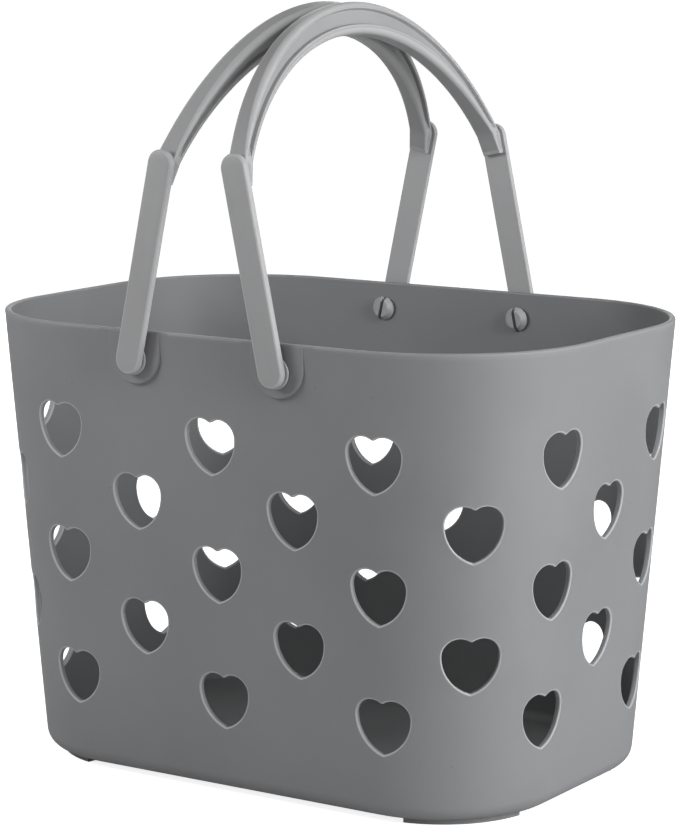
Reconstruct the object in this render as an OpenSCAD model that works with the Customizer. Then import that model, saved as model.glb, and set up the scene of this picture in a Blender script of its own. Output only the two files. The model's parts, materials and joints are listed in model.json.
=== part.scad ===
// Shower caddy: a tapered open basket with heart cut-outs and two swing handles.
// Millimetres, +Z up. The origin is the centre of the footprint, on the surface that the feet stand on.
// X runs along the long walls, -Y is the front. Each handle hinges on two studs about an axis along Y.

/* [Basket] */
// Overall length at the rim
basket_length = 263; // [245:1:290]
// Overall depth at the rim
basket_depth = 184; // [176:1:200]
// Height from the standing surface to the rim
basket_height = 185; // [178:1:210]
// Corner radius at the rim, seen from above
rim_corner_r = 64; // [58:1:70]
// How far the walls come in between the rim and the standing surface
taper = 15.4; // [10:0.1:18]
// Thickness of the walls and the floor
wall_t = 2.5; // [2:0.1:3.2]
// Radius of the outside bottom edge
bottom_edge_r = 7; // [5:0.5:10]
// Height of the corner feet
foot_h = 2.2; // [1.5:0.1:4]

/* [Hearts] */
// Width of a heart
heart_w = 22.4; // [18:0.1:25]
// Radius of a heart's two lobes
heart_lobe_r = 6.8; // [6:0.1:7.4]
// Depth of the tip below a heart's widest line
heart_tip_drop = 15; // [13:0.1:17]
// Height between one row of hearts and the next
row_pitch = 25.6; // [24:0.1:28]
// Height of the middle row's widest line
middle_row_z = 94.5; // [90:0.5:105]

/* [Handles] */
// Distance from the middle of the basket to each handle's axis
pivot_x = 33.4; // [30:0.1:40]
// Depth of the handle axes below the rim
pivot_drop = 11.2; // [10:0.1:14]
// Width of a handle arm
arm_w = 11.2; // [10:0.1:14]
// Thickness of a handle arm
arm_t = 3.2; // [3:0.1:4.5]
// Length of an arm between the centres of its round ends
arm_length = 78; // [76:0.5:90]
// Height of the grip's crown above the axis, along the handle
crown_h = 138; // [130:0.1:150]
// Width of the grip across its flanges
grip_w = 8.5; // [8:0.1:11]
// Depth of the grip's section at the crown
grip_depth = 13; // [11:0.1:15]
// Thickness of the grip's web
web_t = 5.1; // [3:0.1:6]
// Thickness of the grip's flanges
flange_t = 3.1; // [2.4:0.1:3.6]

/* [Hidden] */
$fn = 96;

LEFT = -1;
RIGHT = 1;
FRONT = -1;
BACK = 1;
ALL_SIGNS = [-1, 1];
BASKET_GREY = [0.47, 0.49, 0.51];
HANDLE_GREY = [0.57, 0.58, 0.59];
STUD_GREY = [0.52, 0.53, 0.54];

// Basket
slope = taper / basket_height;
draft = atan(slope);
wall_across = wall_t / cos(draft);
core_x = basket_length / 2 - rim_corner_r;
core_y = basket_depth / 2 - rim_corner_r;
edge_centre_z = foot_h + bottom_edge_r;
edge_centre_d = out_at(edge_centre_z) - bottom_edge_r / cos(draft);
edge_steps = 8;
rim_round = 0.9;
foot_w = 5;
foot_gap = 12;
eps = 0.01;

// Hearts: five column steps from the middle of a long wall to the middle of an end wall
quarter_columns = 5;
middle_r = out_at(middle_row_z);
middle_arc = middle_r * PI / 2;
column_pitch = (core_x + middle_arc + core_y) / quarter_columns;
lobe_x = heart_w / 2 - heart_lobe_r;
flank_r = (pow(heart_tip_drop, 2) / (heart_w / 2) + heart_w / 2) / 2;
flank_x = heart_w / 2 - flank_r;
cut_margin = 4;

// Pivots
pivot_z = basket_height - pivot_drop;
pad_half_w = 12;
pad_rise = 2;
pad_face = basket_depth / 2 + 0.2;
pad_back = out_at(pivot_z) + core_y - 1.2;
shank_r = 4;
running_gap = 0.07;
hub_r = 6.3;
face_gap = 0.3;
hub_len = 1.4;
arm_in = pad_face + face_gap + hub_len;
spigot_r = 3;
spigot_len = 2;
socket_gap = 0.05;
snap_r = 5.1;
snap_lip = 0.8;
snap_len = 2.6;
snap_face = core_y + out_at(pivot_z - snap_r) - wall_across - face_gap;
snap_slot = 1.6;
snap_slot_end = pad_face - 1.5;

// Grip: its outer and inner outlines are arcs that close towards each other at the arms
joint_v = 79;
tongue_top_t = 5.6;
tongue_end_t = 2.8;
tongue_end_v = 70.5;
peg_r = 1.6;
peg_len = 1.9;
peg_vs = [72.8, 77];
outer_r = arc_radius(crown_h, arm_in);
inner_crown = crown_h - grip_depth;
inner_r = arc_radius(inner_crown, arm_in - tongue_top_t);

// The handles lean in until their crowns almost meet over the middle of the basket
crown_gap = 0.3;
lean = asin((pivot_x - crown_gap) / norm([crown_h, grip_w / 2])) - atan2(grip_w / 2, crown_h);

// Distance of the outside wall from the core rectangle at height z
function out_at(z) = rim_corner_r - (basket_height - z) * slope;

// Radius of an arc, centred on the handle's middle line, through its crown and a point at joint height
function arc_radius(crown, side) = (pow(side, 2) + pow(crown - joint_v, 2)) / (2 * (crown - joint_v));

// Points of an arc in the wall section, from one angle to another
function arc(centre, r, from, to, steps) =
    [for (i = [0 : steps])
        let (a = from + (to - from) * i / steps)
        centre + r * [cos(a), sin(a)]];

// Section of wall and floor: the first number is the distance out from the core rectangle
function wall_section() =
    let (
        top = basket_height,
        outer = out_at(top),
        inner = outer - wall_across,
        centre = [edge_centre_d, edge_centre_z]
    )
    concat(
        [[0, foot_h]],
        arc(centre, bottom_edge_r, -90, -draft, edge_steps),
        arc([outer - rim_round, top - rim_round], rim_round, 0, 90, 3),
        arc([inner + rim_round, top - rim_round], rim_round, 90, 180, 3),
        arc(centre, bottom_edge_r - wall_t, -draft, -90, edge_steps),
        [[0, foot_h + wall_t]]
    );

// Draws the child along Y between two distances from the middle
module along_y(from, to) {
    translate([0, to, 0])
        rotate([90, 0, 0])
            linear_extrude(to - from)
                children();
}

// Turns a shape made for the +Y side to the given side
module on_side(side) {
    if (side < 0)
        mirror([0, 1, 0]) children();
    else
        children();
}

// A straight wall on the +X side of a core with the given half sizes
module straight_wall(core_out, half_run) {
    translate([core_out, half_run, 0])
        rotate([90, 0, 0])
            linear_extrude(2 * half_run)
                polygon(wall_section());
}

module shell() {
    for (turn = [0, 180])
        rotate([0, 0, turn]) {
            straight_wall(core_x, core_y);
            rotate([0, 0, 90]) straight_wall(core_y, core_x);
            translate([core_x, core_y, 0])
                rotate_extrude(angle = 90)
                    polygon(wall_section());
            translate([core_x, -core_y, 0])
                rotate([0, 0, -90])
                    rotate_extrude(angle = 90)
                        polygon(wall_section());
        }
    translate([-core_x, -core_y, foot_h])
        cube([2 * core_x, 2 * core_y, wall_t]);
}

// Four arc-shaped feet under the corners
module feet() {
    for (sx = ALL_SIGNS, sy = ALL_SIGNS)
        translate([sx * core_x, sy * core_y, 0])
            rotate([0, 0, sx > 0 ? (sy > 0 ? 0 : -90) : (sy > 0 ? 90 : 180)])
                rotate([0, 0, foot_gap])
                    rotate_extrude(angle = 90 - 2 * foot_gap)
                        translate([edge_centre_d - foot_w, 0])
                            square([foot_w, foot_h + eps]);
}

// The flat pad that a stud's hub turns against, on the +Y side
module pivot_pad() {
    along_y(pad_back, pad_face)
        intersection() {
            union() {
                translate([0, pivot_z + pad_rise]) circle(pad_half_w);
                translate([-pad_half_w, pivot_z + pad_rise])
                    square([2 * pad_half_w, pivot_drop]);
            }
            translate([-pad_half_w, 0])
                square([2 * pad_half_w, basket_height - rim_round]);
        }
}

// Heart outline: the origin is the middle of its widest line
module heart() {
    for (side = ALL_SIGNS)
        translate([side * lobe_x, 0]) circle(heart_lobe_r);
    intersection() {
        translate([flank_x, 0]) circle(flank_r);
        translate([-flank_x, 0]) circle(flank_r);
        translate([-heart_w, -heart_tip_drop]) square([2 * heart_w, heart_tip_drop]);
    }
}

// One column of hearts in the quarter between the front's middle and the right end's middle
module heart_column(index) {
    run = index * column_pitch;
    turn = min(max(run - core_x, 0), middle_arc) / middle_r * 180 / PI;
    anchor = [min(run, core_x), max(run - core_x - middle_arc, 0) - core_y];
    rows = index % 2 == 0 ? [-2, 0, 2] : [-1, 1];
    for (row = rows) {
        z = middle_row_z + row * row_pitch;
        translate([anchor[0], anchor[1], z])
            rotate([0, 0, turn])
                translate([0, cut_margin + wall_across - out_at(z), 0])
                    rotate([90, 0, 0])
                        linear_extrude(wall_across + 2 * cut_margin)
                            heart();
    }
}

module heart_cuts() {
    for (turn = [0, 180])
        rotate([0, 0, turn]) {
            heart_column(0);
            heart_column(quarter_columns);
            for (index = [1 : quarter_columns - 1]) {
                heart_column(index);
                mirror([1, 0, 0]) heart_column(index);
            }
        }
}

module pivot_bores() {
    for (side = ALL_SIGNS, x = [-pivot_x, pivot_x])
        on_side(side)
            translate([x, 0, pivot_z])
                along_y(pad_back - 8, pad_face + 2)
                    circle(shank_r + running_gap);
}

module basket() {
    color(BASKET_GREY)
        difference() {
            union() {
                shell();
                feet();
                for (side = ALL_SIGNS, x = [-pivot_x, pivot_x])
                    on_side(side)
                        translate([x, 0, 0]) pivot_pad();
            }
            heart_cuts();
            pivot_bores();
        }
}

// Places a handle piece: its own origin is on the hinge axis, Z runs up the handle.
// The left handle is the right one turned half round.
module place_handle(hand) {
    rotate([0, 0, hand > 0 ? 0 : 180])
        translate([pivot_x, 0, pivot_z])
            rotate([0, -lean, 0])
                children();
}

// A strap with round ends, blind holes for the stud's spigot and for the grip's pegs
module arm(hand, end) {
    color(HANDLE_GREY)
        place_handle(hand)
            on_side(hand * end)
                difference() {
                    along_y(arm_in, arm_in + arm_t) {
                        circle(arm_w / 2);
                        translate([0, arm_length]) circle(arm_w / 2);
                        translate([-arm_w / 2, 0]) square([arm_w, arm_length]);
                    }
                    along_y(arm_in - 1, arm_in + spigot_len + socket_gap)
                        circle(spigot_r + socket_gap);
                    for (v = peg_vs)
                        translate([0, 0, v])
                            along_y(arm_in - 1, arm_in + peg_len + socket_gap)
                                circle(peg_r + socket_gap);
                }
}

// A hub between arm and basket, a shank in the basket's bore and a split snap end inside the wall
module stud(hand, end) {
    color(STUD_GREY)
        place_handle(hand)
            on_side(hand * end)
                difference() {
                    union() {
                        along_y(arm_in - hub_len, arm_in) circle(hub_r);
                        along_y(arm_in - eps, arm_in + spigot_len) circle(spigot_r);
                        along_y(snap_face - eps, arm_in - eps) circle(shank_r);
                        along_y(snap_face - snap_lip, snap_face) circle(snap_r);
                        translate([0, snap_face - snap_lip, 0])
                            rotate([90, 0, 0])
                                cylinder(h = snap_len - snap_lip, r1 = snap_r, r2 = shank_r - 0.5);
                    }
                    translate([-snap_slot / 2, snap_face - snap_len - 1, -snap_r - 1])
                        cube([snap_slot, snap_slot_end - snap_face + snap_len + 1, 2 * snap_r + 2]);
                }
}

// Draws an outline of the handle's own plane, first number across and second up, with a thickness
module across(thickness) {
    rotate([90, 0, 90])
        translate([0, 0, -thickness / 2])
            linear_extrude(thickness)
                children();
}

module crown_disc(crown, r) {
    translate([0, crown - r]) circle(r, $fn = 240);
}

module above_joint() {
    translate([-arm_in - 5, joint_v]) square([2 * arm_in + 10, crown_h]);
}

module grip_band() {
    intersection() {
        difference() {
            crown_disc(crown_h, outer_r);
            crown_disc(inner_crown, inner_r);
        }
        above_joint();
    }
}

module outer_flange() {
    difference() {
        grip_band();
        crown_disc(crown_h - flange_t, outer_r - flange_t);
    }
}

module inner_flange() {
    intersection() {
        grip_band();
        crown_disc(inner_crown + flange_t, inner_r + flange_t);
    }
}

// The flat end that lies on the arm's inner face
module tongue() {
    polygon([
        [arm_in - tongue_top_t, joint_v + eps],
        [arm_in, joint_v + eps],
        [arm_in, tongue_end_v],
        [arm_in - tongue_end_t, tongue_end_v]
    ]);
}

// An arch of H section with a channel on each side, and a tongue with two pegs at each end
module grip(hand) {
    color(HANDLE_GREY)
        place_handle(hand) {
            across(web_t) grip_band();
            across(grip_w) {
                outer_flange();
                inner_flange();
                tongue();
                mirror([1, 0]) tongue();
            }
            for (side = ALL_SIGNS, v = peg_vs)
                on_side(side)
                    translate([0, 0, v])
                        along_y(arm_in - eps, arm_in + peg_len) circle(peg_r);
        }
}

basket();
grip(LEFT);  // left_grip
grip(RIGHT);  // right_grip
arm(LEFT, FRONT);  // left_front_arm
arm(LEFT, BACK);  // left_back_arm
arm(RIGHT, FRONT);  // right_front_arm
arm(RIGHT, BACK);  // right_back_arm
stud(LEFT, FRONT);  // left_front_stud
stud(LEFT, BACK);  // left_back_stud
stud(RIGHT, FRONT);  // right_front_stud
stud(RIGHT, BACK);  // right_back_stud
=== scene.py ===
"""Looks of the shower caddy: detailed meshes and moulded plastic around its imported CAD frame.

Sizes are millimetres until a mesh is made. X runs along the long walls, -Y is the front, Z is up.
"""

import json
import math

import bmesh
import bpy
from mathutils import Matrix, Vector
from mathutils.geometry import delaunay_2d_cdt


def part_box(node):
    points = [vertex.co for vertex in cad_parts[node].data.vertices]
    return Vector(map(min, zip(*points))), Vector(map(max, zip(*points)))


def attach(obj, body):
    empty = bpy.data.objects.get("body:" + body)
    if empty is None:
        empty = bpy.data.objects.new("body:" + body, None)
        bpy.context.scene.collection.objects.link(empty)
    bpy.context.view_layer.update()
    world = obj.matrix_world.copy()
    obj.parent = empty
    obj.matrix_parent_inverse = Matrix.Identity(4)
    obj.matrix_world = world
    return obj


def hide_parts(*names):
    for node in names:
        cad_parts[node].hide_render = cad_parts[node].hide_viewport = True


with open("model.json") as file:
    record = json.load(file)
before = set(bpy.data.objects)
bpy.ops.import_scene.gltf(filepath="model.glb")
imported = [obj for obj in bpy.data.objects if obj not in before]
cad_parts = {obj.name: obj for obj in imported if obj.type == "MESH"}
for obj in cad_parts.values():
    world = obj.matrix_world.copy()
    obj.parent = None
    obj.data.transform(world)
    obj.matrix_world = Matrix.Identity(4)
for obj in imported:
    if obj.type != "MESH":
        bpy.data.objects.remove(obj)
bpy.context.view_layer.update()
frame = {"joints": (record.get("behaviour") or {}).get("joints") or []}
MM = 0.001

# Basket: the rim's size comes from the frame, and the wall's own proportions go with it
BASKET_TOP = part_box("basket")[1] / MM
PAD_PROUD = 0.2
HEIGHT = BASKET_TOP.z
CORNER_R = 64.0
CORE_X = BASKET_TOP.x - CORNER_R
CORE_Y = BASKET_TOP.y - PAD_PROUD - CORNER_R
SLOPE = 15.4 / 185.0
DRAFT = math.atan(SLOPE)
WALL = 2.5
WALL_ACROSS = WALL / math.cos(DRAFT)
RIM_ROUND = 0.9
FOOT_H = 2.2
FOOT_W = 5.0
FOOT_GAP = math.radians(12)
FOOT_ROUND = 0.5
EDGE_R = 7.0
EDGE_Z = FOOT_H + EDGE_R
EDGE_OUT = CORNER_R - (HEIGHT - EDGE_Z) * SLOPE - EDGE_R / math.cos(DRAFT)

# Hearts: staggered columns, each quarter of the wall from middle to middle holding five steps
HEART_W = 22.4
LOBE_R = 6.8
TIP_DROP = 15.0
NOTCH_ROUND = 1.1
TIP_ROUND = 1.0
HEART_ROUND = 0.7
HEART_MARGIN = 0.25
GRID_MARGIN = 2.6
ROW_PITCH = 25.6
MIDDLE_ROW_Z = 94.5
QUARTER_COLUMNS = 5

# Pivots and handles: the axes come from the frame's joints
HINGE = {j["child"]: Vector(j["pos_m"]) / MM for j in frame["joints"]}
PIVOT_X = HINGE["right_handle"].x
PIVOT_Z = HINGE["right_handle"].z
PAD_HALF_W = 12.0
PAD_RISE = 2.0
PAD_ROUND = 0.7
PAD_TOP = HEIGHT - 0.35
PAD_FACE = BASKET_TOP.y
BORE_R = 4.07
FACE_GAP = 0.3
HUB_LEN = 1.4
COLLAR_R = 6.3
COLLAR_T = 0.9
NECK_R = 5.0
SNAP_R = 5.1
ARM_IN = PAD_FACE + FACE_GAP + HUB_LEN
ARM_W = 11.2
ARM_T = 3.2
ARM_LENGTH = 78.0
JOINT_V = 79.0
CROWN_V = 138.0
GRIP_W = 8.5
GRIP_DEPTH = 13.0
TONGUE_TOP_T = 5.6
TONGUE_END_T = 2.8
TONGUE_END_V = 70.5
OUTER_FLANGE = 3.1
INNER_FLANGE = 3.6
CHANNEL_DEPTH = 1.7
CHANNEL_END_V = 81.0
CHANNEL_FADE = 5.0
CROWN_GAP = 0.3
CROWN_REACH = math.hypot(CROWN_V, GRIP_W / 2)
LEAN = math.asin((PIVOT_X - CROWN_GAP) / CROWN_REACH) - math.atan2(GRIP_W / 2, CROWN_V)

MIDDLE_R = CORNER_R - (HEIGHT - MIDDLE_ROW_Z) * SLOPE
CORNER_RUN = MIDDLE_R * math.pi / 2
PERIMETER = 4 * (CORE_X + CORE_Y + CORNER_RUN)
COLUMN_PITCH = PERIMETER / (4 * QUARTER_COLUMNS)

SIDES = (-1, 1)

# Shading: edges sharper than the first stay crisp, and at the second they take the full paler edge colour,
# partly wear and partly painted highlight
SHARP_ANGLE = math.radians(38)
WEAR_AND_HIGHLIGHT_ANGLE = math.radians(30)


# ---------------------------------------------------------------- mesh helpers

class Shape:
    """Vertices in millimetres and faces, gathered ring by ring and welded when the mesh is made."""

    def __init__(self):
        self.verts = []
        self.faces = []

    def ring(self, points):
        """Adds points and gives their numbers."""
        first = len(self.verts)
        self.verts += [Vector(p) for p in points]
        return list(range(first, len(self.verts)))

    def strip(self, a, b):
        """Quads between two open rows of the same length."""
        self.faces += [(a[i], a[i + 1], b[i + 1], b[i]) for i in range(len(a) - 1)]

    def band(self, a, b):
        """Quads between two closed rings of the same length."""
        self.strip(a + a[:1], b + b[:1])

    def loft(self, rings, caps=True):
        """Bands through a list of rings of points, with its two ends closed."""
        rows = [self.ring(points) for points in rings]
        for a, b in zip(rows, rows[1:]):
            self.band(a, b)
        if caps:
            self.faces += [tuple(reversed(rows[0])), tuple(rows[-1])]

    def mesh_object(self, name, place=Matrix.Identity(4)):
        """Makes the object in metres, with welded seams and outward normals."""
        mesh = bpy.data.meshes.new(name)
        mesh.from_pydata([place @ v * MM for v in self.verts], [], self.faces)
        bm = bmesh.new()
        bm.from_mesh(mesh)
        bmesh.ops.remove_doubles(bm, verts=bm.verts, dist=1e-6)
        bmesh.ops.recalc_face_normals(bm, faces=bm.faces)
        bm.to_mesh(mesh)
        bm.free()
        obj = bpy.data.objects.new(name, mesh)
        bpy.context.scene.collection.objects.link(obj)
        return obj


def arc(cx, cy, r, start, end, steps):
    """Points of an arc, both ends included. Angles are radians."""
    angles = [start + (end - start) * i / steps for i in range(steps + 1)]
    return [(cx + r * math.cos(a), cy + r * math.sin(a)) for a in angles]


def round_levels(radius, low, high, steps=3):
    """(inset, height) pairs up the side of a prism whose two edges are rounded."""
    turns = [math.pi / 2 * i / steps for i in range(steps + 1)]
    foot = [(radius * (1 - math.sin(t)), low + radius * (1 - math.cos(t))) for t in turns]
    head = [(radius * (1 - math.cos(t)), high - radius * (1 - math.sin(t))) for t in turns]
    return foot + head


def inset_outline(outline, inset):
    """A closed counter-clockwise outline moved inwards by the same distance everywhere."""
    moved = []
    count = len(outline)
    for i, point in enumerate(outline):
        here = Vector(point)
        before = (here - Vector(outline[i - 1])).normalized()
        after = (Vector(outline[(i + 1) % count]) - here).normalized()
        inward = Vector((-before.y - after.y, before.x + after.x)).normalized()
        spread = max(inward.dot(Vector((-after.y, after.x))), 0.5)
        moved.append(here + inward * inset / spread)
    return moved


def prism(shape, outline, levels, place):
    """A solid over an outline, its sides following (inset, height) levels.

    place makes a point of (u, v, h).
    """
    shape.loft([[place(p.x, p.y, h) for p in inset_outline(outline, inset)] for inset, h in levels])


def apply_modifiers(obj):
    """Turns the object's modifiers into its mesh."""
    graph = bpy.context.evaluated_depsgraph_get()
    mesh = bpy.data.meshes.new_from_object(obj.evaluated_get(graph))
    obj.modifiers.clear()
    obj.data = mesh


def combine(obj, tool, operation):
    """Joins the tool to the object or cuts it away, and removes the tool."""
    step = obj.modifiers.new("combine", "BOOLEAN")
    step.operation = operation
    step.solver = "MANIFOLD"
    step.object = tool
    apply_modifiers(obj)
    bpy.data.objects.remove(tool)


def finish_piece(obj, body, node, material):
    """Shading, edge mask and material, and the piece's place in the frame."""
    mesh = obj.data
    mesh.shade_smooth()
    mesh.set_sharp_from_angle(angle=SHARP_ANGLE)
    weigh = obj.modifiers.new("weigh", "WEIGHTED_NORMAL")
    weigh.keep_sharp = True
    apply_modifiers(obj)
    if "edge" not in obj.data.attributes:
        mark_worn_and_lit_edges(obj.data)
    obj.data.materials.clear()
    obj.data.materials.append(material)
    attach(obj, body)
    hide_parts(node)
    return obj


def mark_worn_and_lit_edges(mesh):
    """Stores how strongly the surface turns outwards at each point, for the paler edges: partly wear,
    partly painted highlight and painted light.
    """
    bm = bmesh.new()
    bm.from_mesh(mesh)
    turns = []
    for v in bm.verts:
        angles = [e.calc_face_angle_signed(0.0) for e in v.link_edges if e.is_manifold]
        turns.append(min(max(angles, default=0.0) / WEAR_AND_HIGHLIGHT_ANGLE, 1.0))
    bm.free()
    mask = mesh.attributes.new("edge", "FLOAT", "POINT")
    mask.data.foreach_set("value", [max(t, 0.0) for t in turns])


# ---------------------------------------------------------------- basket

def out_at(z):
    """Distance of the outside wall from the core rectangle at height z."""
    return CORNER_R - (HEIGHT - z) * SLOPE


def wall_frame(run):
    """Point of the core rectangle and heading of the wall at a run from the front's middle towards +X."""
    left = run % PERIMETER
    point, heading = Vector((0, -CORE_Y)), 0.0
    half_x, half_y = CORE_X, CORE_Y
    for straight in (half_x, 2 * half_y, 2 * half_x, 2 * half_y, half_x):
        along = Vector((math.cos(heading), math.sin(heading)))
        if left <= straight:
            return point + along * left, heading
        point, left = point + along * straight, left - straight
        if left <= CORNER_RUN:
            return point, heading + math.pi / 2 * left / CORNER_RUN
        heading, left = heading + math.pi / 2, left - CORNER_RUN
    return point, heading


def wall_point(run, out, z):
    """Point at a run along the wall, a distance out from the core rectangle, at height z."""
    point, heading = wall_frame(run)
    return Vector((point.x + out * math.sin(heading), point.y - out * math.cos(heading), z))


def cut_run(column_run, across, out):
    """Run where a cut made square to the wall at column_run, moved sideways by across, meets it."""
    middle, heading = wall_frame(column_run)
    along = Vector((math.cos(heading), math.sin(heading)))
    run = column_run + across
    for _ in range(10):
        here = wall_point(run, out, 0).xy - middle
        run += across - here.dot(along)
    return run


def heart_outline(grow):
    """Heart with rounded notch and tip, its widest line through the origin, grown outwards."""
    lobe_x = HEART_W / 2 - LOBE_R
    notch_z = math.sqrt((LOBE_R + NOTCH_ROUND) ** 2 - lobe_x ** 2)
    flank_r = (TIP_DROP ** 2 / (HEART_W / 2) + HEART_W / 2) / 2
    flank_x = HEART_W / 2 - flank_r
    tip_z = -math.sqrt((flank_r - TIP_ROUND) ** 2 - flank_x ** 2)
    notch_turn = math.atan2(-notch_z, lobe_x)
    tip_turn = math.atan2(tip_z, -flank_x)
    half = (
        arc(0, notch_z, NOTCH_ROUND - grow, -math.pi / 2, notch_turn, 3)
        + arc(lobe_x, 0, LOBE_R + grow, notch_turn + math.pi, 0, 14)[1:]
        + arc(flank_x, 0, flank_r + grow, 0, tip_turn, 9)[1:]
        + arc(0, tip_z, TIP_ROUND + grow, tip_turn, -math.pi / 2, 4)[1:]
    )
    return half + [(-x, z) for x, z in reversed(half[1:-1])]


def heart_places():
    """(run, height) of every heart's widest line."""
    places = []
    for column in range(1, 4 * QUARTER_COLUMNS + 1):
        rows = (-2, 0, 2) if column % 2 == 0 else (-1, 1)
        places += [(column * COLUMN_PITCH, MIDDLE_ROW_Z + row * ROW_PITCH) for row in rows]
    return places


def heart_ring(place, grow, inset):
    """(run, height) points of one heart's outline on the wall, at a depth below the outside."""
    column_run, middle_z = place
    points = []
    for x, z in heart_outline(grow):
        height = middle_z + z
        points.append((cut_run(column_run, x, out_at(height) - inset), height))
    return points


def wall_runs():
    """Runs round the wall, from a seam between two columns of hearts back to it."""
    seam = CORE_X / 4
    stretches = [(CORE_X - seam, 6), (CORNER_RUN, 20), (2 * CORE_Y, 7), (CORNER_RUN, 20), (2 * CORE_X, 16),
                 (CORNER_RUN, 20), (2 * CORE_Y, 7), (CORNER_RUN, 20), (CORE_X + seam, 10)]
    runs = [seam]
    for length, steps in stretches:
        start = runs[-1]
        runs += [start + length * (i + 1) / steps for i in range(steps)]
    return runs


def is_inside(point, outline):
    """Whether a point is inside a closed outline."""
    inside = False
    for (x0, y0), (x1, y1) in zip(outline, outline[1:] + outline[:1]):
        if (y0 > point[1]) != (y1 > point[1]) and point[0] < x0 + (point[1] - y0) * (x1 - x0) / (y1 - y0):
            inside = not inside
    return inside


def near_outline(point, outline, margin):
    """Whether a point is inside an outline or closer to it than the margin."""
    if abs(point[0] - outline[0][0]) > HEART_W or abs(point[1] - outline[0][1]) > HEART_W + margin:
        return False
    return is_inside(point, outline) or min(math.dist(point, p) for p in outline) < margin


def skin(shape, runs, rows, inset, outlines):
    """One face of the wall with its heart-shaped holes. Gives the first and last row's vertex numbers."""
    grid = [(run, z) for z in rows for run in runs]
    kept = [p for p in grid if not any(near_outline(p, o, GRID_MARGIN) for o in outlines)]
    points = [p for o in outlines for p in o] + kept
    edges = []
    for i, outline in enumerate(outlines):
        first = i * len(outline)
        edges += [(first + k, first + (k + 1) % len(outline)) for k in range(len(outline))]
    flat, _, faces, sources, _, _ = delaunay_2d_cdt([Vector(p) for p in points], edges, [], 0, 1e-5)
    order = [source[0] for source in sources]
    numbers = shape.ring([wall_point(run, out_at(z) - inset, z) for run, z in points])
    hole_size = len(outlines[0])
    for face in faces:
        corners = [order[v] for v in face]
        holes = {v // hole_size if v < hole_size * len(outlines) else -1 for v in corners}
        if len(holes) == 1 and -1 not in holes:
            middle = sum((flat[v] for v in face), Vector((0, 0))) / len(face)
            if is_inside(middle, outlines[holes.pop()]):
                continue
        shape.faces.append(tuple(numbers[v] for v in corners))
    first_kept = hole_size * len(outlines)
    low = numbers[first_kept:first_kept + len(runs)]
    high = numbers[len(numbers) - len(runs):]
    holes = [numbers[i * hole_size:(i + 1) * hole_size] for i in range(len(outlines))]
    return low, high, holes


def wall_strips(shape, runs, row, section):
    """Strips from a row of the wall along (out, height) points. Gives the last row."""
    for out, z in section:
        following = shape.ring([wall_point(run, out, z) for run in runs])
        shape.strip(row, following)
        row = following
    return row


def build_shell():
    """Walls with hearts, rounded rim and bottom edge, and the floor."""
    shape = Shape()
    runs = wall_runs()
    places = heart_places()
    turns = [math.pi / 2 * i / 3 for i in range(4)]
    fillet = [(HEART_ROUND + HEART_MARGIN, 0)]
    fillet += [(HEART_ROUND * (1 - math.sin(t)), HEART_ROUND * (1 - math.cos(t))) for t in turns]
    rim_z = HEIGHT - RIM_ROUND
    row_count = 22
    skins = []
    inner_fillet = [(grow, WALL_ACROSS - depth) for grow, depth in fillet]
    for inset, radius, cuts in ((0, EDGE_R, fillet), (WALL_ACROSS, EDGE_R - WALL, inner_fillet)):
        edge_z = EDGE_Z - radius * math.sin(DRAFT)
        rows = [edge_z + (rim_z - edge_z) * i / row_count for i in range(row_count + 1)]
        rings = [[heart_ring(place, grow, depth) for place in places] for grow, depth in cuts]
        low, high, holes = skin(shape, runs, rows, inset, rings[0])
        for (grow, depth), ring_set in zip(cuts[1:], rings[1:]):
            deeper = []
            for hole, outline in zip(holes, ring_set):
                ring = shape.ring([wall_point(run, out_at(z) - depth, z) for run, z in outline])
                shape.band(hole, ring)
                deeper.append(ring)
            holes = deeper
        skins.append((low, high, holes))
    (low_out, high_out, holes_out), (low_in, high_in, holes_in) = skins
    for a, b in zip(holes_out, holes_in):
        shape.band(a, b)

    outer, inner = out_at(rim_z), out_at(rim_z) - WALL_ACROSS
    rim = (arc(outer - RIM_ROUND, rim_z, RIM_ROUND, 0, math.pi / 2, 8)[1:]
           + arc(inner + RIM_ROUND, rim_z, RIM_ROUND, math.pi / 2, math.pi, 8)[:-1])
    shape.strip(wall_strips(shape, runs, high_out, rim), high_in)
    for low, radius in ((low_out, EDGE_R), (low_in, EDGE_R - WALL)):
        edge = arc(EDGE_OUT, EDGE_Z, radius, -DRAFT, -math.pi / 2, 10)[1:]
        floor = wall_strips(shape, runs, low, edge)
        shape.faces.append(tuple(floor[:-1]))
    shell = shape.mesh_object("basket_shell")
    mark_worn_and_lit_edges(shell.data)
    return shell


def pad_outline():
    """The pivot pad's outline, round below and running up into the rim."""
    bowl = arc(0, PIVOT_Z + PAD_RISE, PAD_HALF_W, math.pi, 2 * math.pi, 36)
    return bowl + [(PAD_HALF_W, PAD_TOP), (-PAD_HALF_W, PAD_TOP)]


def add_pads(basket):
    """Joins the four pivot pads to the walls and bores them."""
    back = out_at(PIVOT_Z) + CORE_Y - 1.2
    levels = [(0, back)] + round_levels(PAD_ROUND, back, PAD_FACE, 9)[10:]
    for side in SIDES:
        for x in (-PIVOT_X, PIVOT_X):
            pad = Shape()
            prism(pad, pad_outline(), levels, lambda u, v, h: Vector((x + u, side * h, v)))
            combine(basket, pad.mesh_object("pad"), "UNION")
            bore = Shape()
            circle = arc(0, PIVOT_Z, BORE_R, 0, 2 * math.pi, 48)[:-1]
            through = [(0, back - 8), (0, PAD_FACE + 2)]
            prism(bore, circle, through, lambda u, v, h: Vector((x + u, side * h, v)))
            combine(basket, bore.mesh_object("bore"), "DIFFERENCE")


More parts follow.
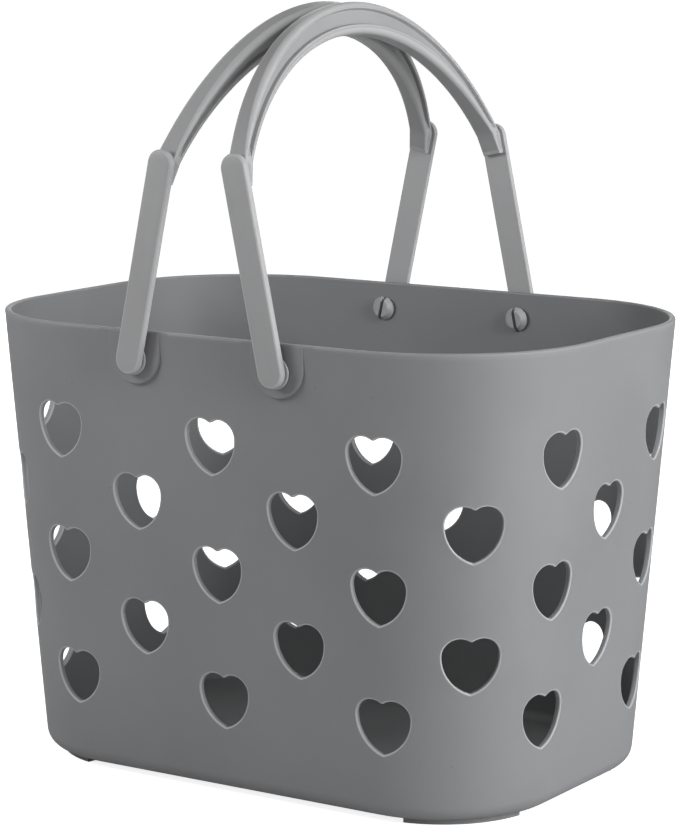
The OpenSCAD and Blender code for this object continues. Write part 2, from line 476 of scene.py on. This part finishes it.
def add_feet(basket):
    """Joins the arc-shaped feet to the underside, one below each corner."""
    for sx in SIDES:
        for sy in SIDES:
            start, end = FOOT_GAP, math.pi / 2 - FOOT_GAP
            band = (arc(0, 0, EDGE_OUT, start, end, 24) + arc(0, 0, EDGE_OUT - FOOT_W, end, start, 24))
            levels = round_levels(FOOT_ROUND, 0, FOOT_H + 1, 9)[:10] + [(0, FOOT_H + 0.4)]
            foot = Shape()
            prism(foot, band, levels, lambda u, v, h: Vector((sx * (CORE_X + u), sy * (CORE_Y + v), h)))
            combine(basket, foot.mesh_object("foot"), "UNION")


def build_basket(material):
    """The whole basket moulding: shell, pads and feet in one mesh."""
    basket = build_shell()
    add_pads(basket)
    add_feet(basket)
    basket.name = "basket_moulding"
    return finish_piece(basket, "basket", "basket", material)


# ---------------------------------------------------------------- handles

def handle_matrix(hand):
    """From a handle's own frame, with its axis through the origin and Z up the handle, to the model's."""
    half_turn = Matrix.Rotation(0 if hand > 0 else math.pi, 4, "Z")
    return half_turn @ Matrix.Translation((PIVOT_X, 0, PIVOT_Z)) @ Matrix.Rotation(-LEAN, 4, "Y")


def build_arm(name, hand, end, material):
    """A strap with round ends and rounded edges, crowned outside with a shallow sink down its middle."""
    side = hand * end
    half = ARM_W / 2
    edge, crown, sink = 0.9, 0.35, 0.25
    outline = arc(0, 0, half, -math.pi, 0, 24) + arc(0, ARM_LENGTH, half, 0, math.pi, 24)
    levels = round_levels(0.45, 0, ARM_T)[:4]
    rounding = [math.pi / 2 * i / 4 for i in range(5)]
    shoulder = ARM_T - crown
    levels += [(edge * (1 - math.cos(t)), shoulder - edge * (1 - math.sin(t))) for t in rounding]
    for q in (0.85, 0.7, 0.55, 0.4, 0.25, 0.1):
        levels.append((half - q * (half - edge), ARM_T - crown * q ** 2 - sink * (1 - q) ** 2))
    shape = Shape()
    prism(shape, outline, levels, lambda u, v, h: Vector((u, side * (ARM_IN + h), v)))
    arm = shape.mesh_object(name, handle_matrix(hand))
    body = "right_handle" if hand > 0 else "left_handle"
    return finish_piece(arm, body, name.replace("_strap", "_arm"), material)


def build_stud(name, hand, end, material):
    """Hub with a rounded collar, shank, and a split snap end inside the wall."""
    side = hand * end
    snap = CORE_Y + out_at(PIVOT_Z - SNAP_R) - WALL_ACROSS - FACE_GAP
    hub = ARM_IN - HUB_LEN
    collar = [(COLLAR_R - inset, y) for inset, y in reversed(round_levels(0.3, hub, hub + COLLAR_T))]
    profile = [(3.0, ARM_IN + 1.9), (3.0, ARM_IN - 0.05), (NECK_R, ARM_IN - 0.05), (NECK_R, hub + COLLAR_T)]
    profile += collar + [(4.0, hub), (4.0, snap)]
    profile += [(SNAP_R, snap), (SNAP_R, snap - 0.8), (3.5, snap - 2.6)]
    around = [2 * math.pi * i / 48 for i in range(48)]
    rings = [[(r * math.cos(a), side * y, r * math.sin(a)) for a in around] for r, y in profile]
    shape = Shape()
    shape.loft(rings)
    stud = shape.mesh_object(name, handle_matrix(hand))
    slot = Shape()
    square = [(-0.8, -6.5), (0.8, -6.5), (0.8, 6.5), (-0.8, 6.5)]
    prism(slot, square, [(0, snap - 4), (0, PAD_FACE - 1.5)], lambda u, v, h: Vector((u, side * h, v)))
    combine(stud, slot.mesh_object("slot", handle_matrix(hand)), "DIFFERENCE")
    body = "right_handle" if hand > 0 else "left_handle"
    return finish_piece(stud, body, name.replace("_pivot", "_stud"), material)


def grip_profile(depth, corner, open_share):
    """H section across the grip, from its inner face (0) to its outer face (depth).

    open_share is how far its two channels have opened.
    """
    half = GRIP_W / 2
    share = min(1.0, 0.62 * depth / (INNER_FLANGE + OUTER_FLANGE))
    inner, outer = INNER_FLANGE * share, depth - OUTER_FLANGE * share
    recess = CHANNEL_DEPTH * open_share
    lip = min(0.45, recess * 0.5, (outer - inner) * 0.2)
    slant = recess * 0.25
    floor = half - recess
    inner_r, outer_r = min(corner, inner - lip), min(corner, depth - outer - lip)
    right = (
        arc(half - inner_r, inner_r, inner_r, -math.pi / 2, 0, 6)
        + arc(half - lip, inner - lip, lip, 0, math.pi / 2, 3)
        + [(floor, inner + slant), (floor, outer - slant)]
        + arc(half - lip, outer + lip, lip, -math.pi / 2, 0, 3)
        + arc(half - outer_r, depth - outer_r, outer_r, 0, math.pi / 2, 6)
    )
    return right + [(-a, b) for a, b in reversed(right)]


def outline_arc(crown, side):
    """Centre height and radius of an arc through the crown and a point at the joint's height."""
    radius = (side ** 2 + (crown - JOINT_V) ** 2) / (2 * (crown - JOINT_V))
    return crown - radius, radius


def grip_stations():
    """(inner, outer) points in the handle's plane, from one tongue's end over the crown to the other."""
    outer_c, outer_r = outline_arc(CROWN_V, ARM_IN)
    inner_c, inner_r = outline_arc(CROWN_V - GRIP_DEPTH, ARM_IN - TONGUE_TOP_T)
    outer_end = math.asin(ARM_IN / outer_r)
    inner_end = math.asin((ARM_IN - TONGUE_TOP_T) / inner_r)
    steps = 56
    half = []
    for i in range(steps + 1):
        t = i / steps
        a, b = inner_end * t, outer_end * t
        half.append((Vector((inner_r * math.sin(a), inner_c + inner_r * math.cos(a))),
                     Vector((outer_r * math.sin(b), outer_c + outer_r * math.cos(b)))))
    tongue_steps = 5
    for i in range(1, tongue_steps + 1):
        t = i / tongue_steps
        v = JOINT_V + (TONGUE_END_V - JOINT_V) * t
        thick = TONGUE_TOP_T + (TONGUE_END_T - TONGUE_TOP_T) * t
        half.append((Vector((ARM_IN - thick, v)), Vector((ARM_IN, v))))
    mirrored = [(Vector((-i.x, i.y)), Vector((-o.x, o.y))) for i, o in reversed(half[1:])]
    return mirrored + half


def build_grip(name, hand, material):
    """An arch of rounded H section that thins to a flat tongue on each arm."""
    rings = []
    for inner, outer in grip_stations():
        depth = (outer - inner).length
        up = (outer - inner) / depth
        near_joint = min(max((CROWN_V - GRIP_DEPTH - inner.y) / (CROWN_V - GRIP_DEPTH - JOINT_V), 0), 1)
        corner = 2.5 - 1.9 * near_joint ** 3
        open_share = min(max((outer.y - CHANNEL_END_V) / CHANNEL_FADE, 0.01), 1)
        profile = grip_profile(depth, corner, open_share)
        rings.append([(a, inner.x + up.x * b, inner.y + up.y * b) for a, b in profile])
    shape = Shape()
    shape.loft(rings)
    grip = shape.mesh_object(name, handle_matrix(hand))
    body = "right_handle" if hand > 0 else "left_handle"
    return finish_piece(grip, body, name.replace("_arch", "_grip"), material)


# ---------------------------------------------------------------- materials

class Nodes:
    """Short ways to add the shader nodes of a material or the world and to join them."""

    def __init__(self, owner):
        owner.use_nodes = True
        self.tree = owner.node_tree
        self.tree.nodes.clear()

    def add(self, kind, **values):
        node = self.tree.nodes.new(kind)
        for name, value in values.items():
            if name in node.inputs:
                node.inputs[name].default_value = value
            else:
                setattr(node, name, value)
        return node

    def join(self, source, target):
        self.tree.links.new(source, target)


def moulded_plastic(name, colour, roughness, grain, painted_edge_light):
    """Matte moulded polypropylene: cloudy tone, fine grain, specks, scuffs, and paler edges that are partly
    wear and partly painted highlight, with painted light on the heart holes' walls.
    """
    material = bpy.data.materials.new(name)
    n = Nodes(material)
    coords = n.add("ShaderNodeTexCoord").outputs["Object"]
    shader = n.add("ShaderNodeBsdfPrincipled")
    shader.inputs["IOR"].default_value = 1.49
    shader.inputs["Specular IOR Level"].default_value = 0.4
    output = n.add("ShaderNodeOutputMaterial")
    n.join(shader.outputs["BSDF"], output.inputs["Surface"])

    def noise(scale, detail, rough=0.5):
        node = n.add("ShaderNodeTexNoise", Scale=scale, Detail=detail, Roughness=rough)
        n.join(coords, node.inputs["Vector"])
        return node.outputs["Fac"]

    def ramp(source, low, high, start=0.0, end=1.0):
        node = n.add("ShaderNodeMapRange")
        node.inputs["From Min"].default_value = low
        node.inputs["From Max"].default_value = high
        node.inputs["To Min"].default_value = start
        node.inputs["To Max"].default_value = end
        n.join(source, node.inputs["Value"])
        return node.outputs["Result"]

    def mix(a, b, factor):
        node = n.add("ShaderNodeMix", data_type="RGBA")
        for value, socket in ((a, node.inputs["A"]), (b, node.inputs["B"])):
            if isinstance(value, tuple):
                socket.default_value = value
            else:
                n.join(value, socket)
        n.join(factor, node.inputs["Factor"])
        return node.outputs["Result"]

    def shade(amount):
        return tuple(c * amount for c in colour) + (1.0,)

    cloud = mix(shade(0.95), shade(1.05), ramp(noise(14, 3), 0.35, 0.65))
    fine = mix(cloud, shade(0.90), ramp(noise(900, 2), 0.62, 0.9, 0.0, 0.5))

    # Sparse specks, some dark and some pale
    cells = n.add("ShaderNodeTexVoronoi", Scale=150.0)
    n.join(coords, cells.inputs["Vector"])
    rare = ramp(noise(60, 1), 0.66, 0.7)
    dot = ramp(cells.outputs["Distance"], 0.05, 0.09, 1.0, 0.0)
    speck = n.add("ShaderNodeMath", operation="MULTIPLY")
    n.join(rare, speck.inputs[0])
    n.join(dot, speck.inputs[1])
    specked = mix(fine, shade(0.70), speck.outputs["Value"])

    # Faint pale scuffs
    scuff = ramp(noise(45, 8, 0.75), 0.70, 0.80, 0.0, 0.28)
    scuffed = mix(specked, shade(1.35), scuff)

    # Paler edges from the edge mask: this first step is partly wear and partly a painted highlight on rims
    # and turned edges
    edge = n.add("ShaderNodeAttribute", attribute_name="edge")
    worn_and_highlit = mix(scuffed, shade(1.50), ramp(edge.outputs["Fac"], 0.3, 0.4, 0.0, 0.6))
    # The second, stronger step is painted light on the heart holes' walls and fillets, and a painted
    # highlight on the handles' sharper edges
    pale = mix(worn_and_highlit, shade(painted_edge_light), ramp(edge.outputs["Fac"], 0.5, 0.8, 0.0, 0.9))
    n.join(pale, shader.inputs["Base Color"])
    n.join(ramp(noise(30, 4), 0.3, 0.7, roughness - 0.05, roughness + 0.06), shader.inputs["Roughness"])

    height = n.add("ShaderNodeMath", operation="MULTIPLY_ADD")
    n.join(noise(2600, 3), height.inputs[0])
    height.inputs[1].default_value = grain
    n.join(ramp(noise(22, 2), 0.0, 1.0, 0.0, 4.0), height.inputs[2])
    bump = n.add("ShaderNodeBump", Strength=0.35, Distance=0.0001)
    n.join(height.outputs["Value"], bump.inputs["Height"])
    n.join(bump.outputs["Normal"], shader.inputs["Normal"])
    return material


# ---------------------------------------------------------------- stage

def build_floor():
    """Plain pale floor, wide enough to reach the horizon, that looks lighter than it lights."""
    reach = 40.0
    mesh = bpy.data.meshes.new("floor")
    corners = [(-reach, -reach, 0), (reach, -reach, 0), (reach, reach, 0), (-reach, reach, 0)]
    mesh.from_pydata(corners, [], [(0, 1, 2, 3)])
    floor = bpy.data.objects.new("floor", mesh)
    bpy.context.scene.collection.objects.link(floor)
    pale = bpy.data.materials.new("floor_pale")
    n = Nodes(pale)
    matte = n.add("ShaderNodeBsdfDiffuse", Color=(0.70, 0.70, 0.70, 1))
    glow = n.add("ShaderNodeEmission", Color=(1, 1, 1, 1), Strength=0.85)
    lifted = n.add("ShaderNodeAddShader")
    path = n.add("ShaderNodeLightPath")
    mix = n.add("ShaderNodeMixShader")
    output = n.add("ShaderNodeOutputMaterial")
    n.join(matte.outputs["BSDF"], lifted.inputs[0])
    n.join(glow.outputs["Emission"], lifted.inputs[1])
    n.join(path.outputs["Is Camera Ray"], mix.inputs[0])
    n.join(matte.outputs["BSDF"], mix.inputs[1])
    n.join(lifted.outputs["Shader"], mix.inputs[2])
    n.join(mix.outputs["Shader"], output.inputs["Surface"])
    mesh.materials.append(pale)


def build_world():
    """Surroundings that look white and light the object only softly."""
    world = bpy.data.worlds.new("studio")
    bpy.context.scene.world = world
    n = Nodes(world)
    seen = n.add("ShaderNodeBackground", Color=(1, 1, 1, 1), Strength=1.0)
    soft = n.add("ShaderNodeBackground", Color=(1, 1, 1, 1), Strength=0.25)
    path = n.add("ShaderNodeLightPath")
    mix = n.add("ShaderNodeMixShader")
    output = n.add("ShaderNodeOutputWorld")
    n.join(path.outputs["Is Camera Ray"], mix.inputs[0])
    n.join(soft.outputs["Background"], mix.inputs[1])
    n.join(seen.outputs["Background"], mix.inputs[2])
    n.join(mix.outputs["Shader"], output.inputs["Surface"])


def add_light(name, kind, place, power, **settings):
    """A light at a place in metres that shines at the middle of the basket."""
    data = bpy.data.lights.new(name, kind)
    data.energy = power
    for setting, value in settings.items():
        setattr(data, setting, value)
    light = bpy.data.objects.new(name, data)
    light.location = place
    light.rotation_euler = (Vector((0, 0, 0.12)) - Vector(place)).to_track_quat("-Z", "Y").to_euler()
    bpy.context.scene.collection.objects.link(light)


def build_lights():
    """Soft key from the right, near fill from the front left, a weak back light and an even top light."""
    add_light("key_right", "AREA", (1.15, -0.05, 0.5), 16.3, size=0.8)
    add_light("fill_front_left", "AREA", (-0.38, -0.46, 0.42), 1.85, size=0.22)
    add_light("back_left", "AREA", (-0.7, 1.1, 0.4), 5.0, size=0.8)
    add_light("top", "SUN", (0, 0, 3), 0.1, angle=math.radians(50))
    bpy.context.scene.view_settings.view_transform = "Standard"


def build_camera():
    """Camera at the reference view: azimuth from the front towards +X, elevation, distance and aim."""
    azimuth, elevation = math.radians(33.37), math.radians(9.49)
    distance = 1.24764
    aim = Vector((0.00135, 0, 0.14134))
    level = math.cos(elevation)
    back = Vector((math.sin(azimuth) * level, -math.cos(azimuth) * level, math.sin(elevation)))
    data = bpy.data.cameras.new("camera")
    data.sensor_width = 36
    data.lens = 132.24
    camera = bpy.data.objects.new("camera", data)
    camera.location = aim + back * distance
    camera.rotation_euler = (-back).to_track_quat("-Z", "Y").to_euler()
    bpy.context.scene.collection.objects.link(camera)
    bpy.context.scene.camera = camera


build_camera()
build_floor()
build_world()
build_lights()

# The last number is the tone of the painted light on the sharpest edges and in the heart holes' walls
basket_plastic = moulded_plastic("basket_plastic", (0.200, 0.203, 0.208), 0.52, 1.0, 2.0)
handle_plastic = moulded_plastic("handle_plastic", (0.308, 0.310, 0.315), 0.45, 0.4, 1.2)
stud_plastic = moulded_plastic("stud_plastic", (0.308, 0.310, 0.315), 0.45, 0.4, 1.2)

build_basket(basket_plastic)
for hand, hand_name in ((-1, "left"), (1, "right")):
    build_grip(f"{hand_name}_arch", hand, handle_plastic)
    for end, end_name in ((-1, "front"), (1, "back")):
        build_arm(f"{hand_name}_{end_name}_strap", hand, end, handle_plastic)
        build_stud(f"{hand_name}_{end_name}_pivot", hand, end, stud_plastic)
